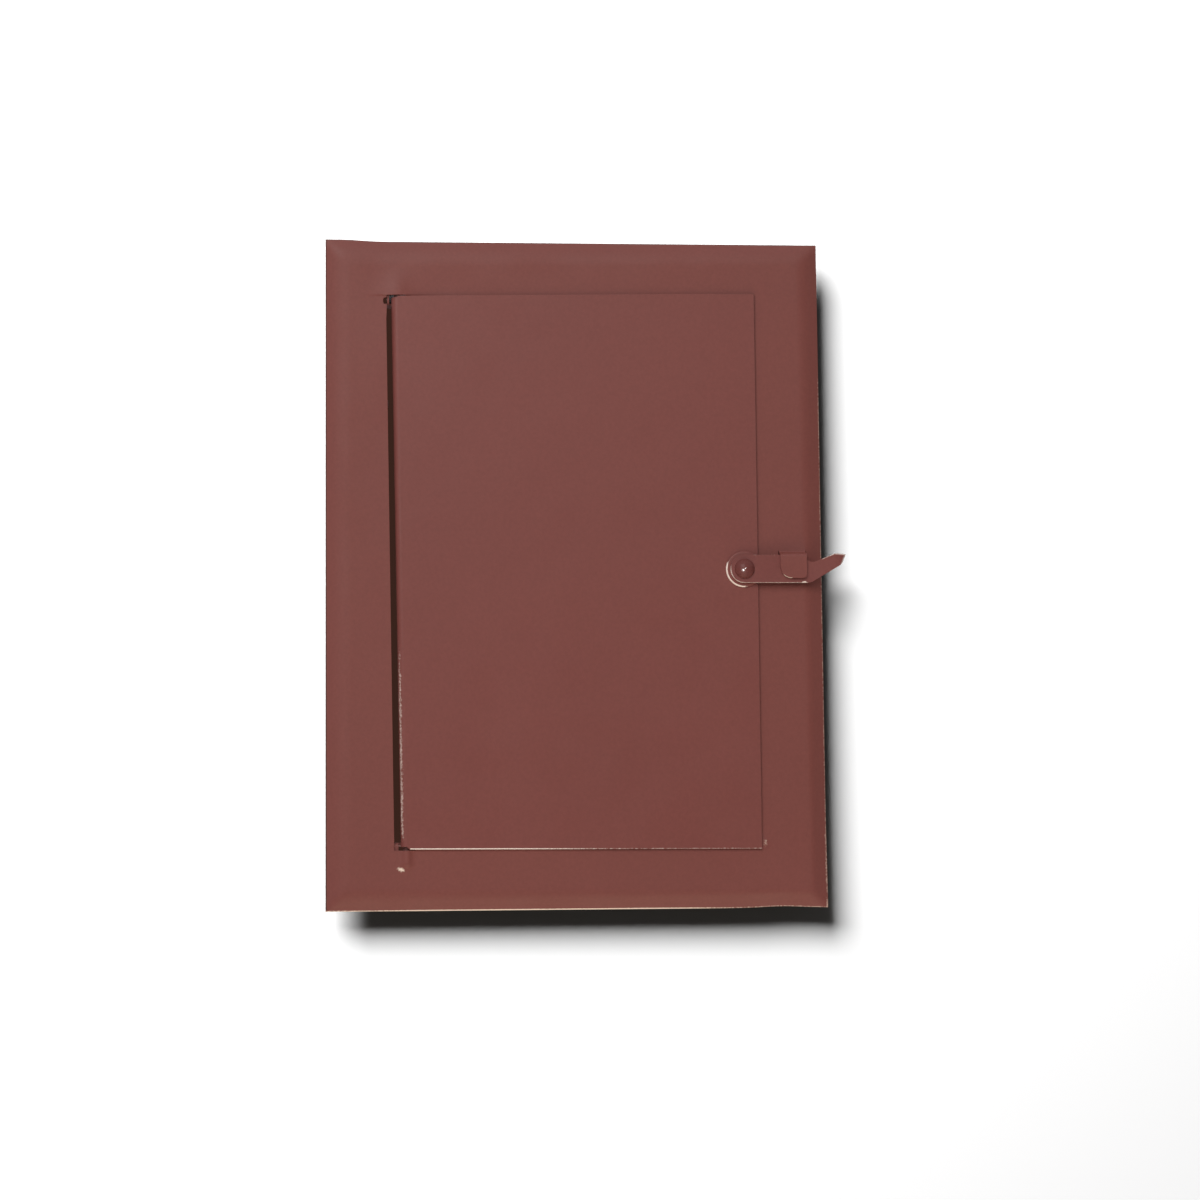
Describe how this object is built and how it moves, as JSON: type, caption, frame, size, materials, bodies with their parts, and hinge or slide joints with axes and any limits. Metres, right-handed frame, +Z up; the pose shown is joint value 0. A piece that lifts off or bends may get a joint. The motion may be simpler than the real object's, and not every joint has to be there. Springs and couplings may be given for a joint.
{
  "type": "chimney inspection door",
  "caption": "Sheet-steel chimney inspection door: pressed frame plate with wall collar and anchors, leaf with a rolled hinge edge, and a riveted swing latch under a lanced keeper tongue.",
  "frame": {"origin": "middle of the wall collar in the plane of the wall, which is the plane of the frame plate's rim", "axes": "+X to the right as seen from the room, +Y into the wall, +Z up"},
  "size_m": [0.2082, 0.0682, 0.27],
  "materials": {
    "frame_paint": "satin red-oxide paint, thin on cut edges",
    "leaf_paint": "satin red-oxide paint",
    "latch_paint": "satin red-oxide paint, worn at edges",
    "pin_wire": "plain drawn wire"
  },
  "bodies": {
    "frame": {"frame_plate": "frame_paint", "wall_collar": "frame_paint", "wall_anchor_1": "frame_paint", "wall_anchor_2": "frame_paint", "wall_anchor_3": "frame_paint", "wall_anchor_4": "frame_paint", "anchor_rivet_1": "frame_paint", "anchor_rivet_2": "frame_paint", "anchor_rivet_3": "frame_paint", "anchor_rivet_4": "frame_paint", "hinge_pin": "pin_wire"},
    "door": {"door_leaf": "leaf_paint", "latch_spacer": "leaf_paint", "latch_rivet": "latch_paint"},
    "latch": {"latch_lever": "latch_paint"}
  },
  "joints": [
    {"name": "door_swing", "type": "hinge", "parent": "frame", "child": "door", "pos_m": [-0.06775, -0.00267, 0], "axis": [0.0148, 0, -0.9999], "range_deg": [0, 110]},
    {"name": "latch_swing", "type": "hinge", "parent": "door", "child": "latch", "pos_m": [0.0696, -0.00585, 0.0005], "axis": [0, 1, 0], "range_deg": [0, 180]}
  ]
}
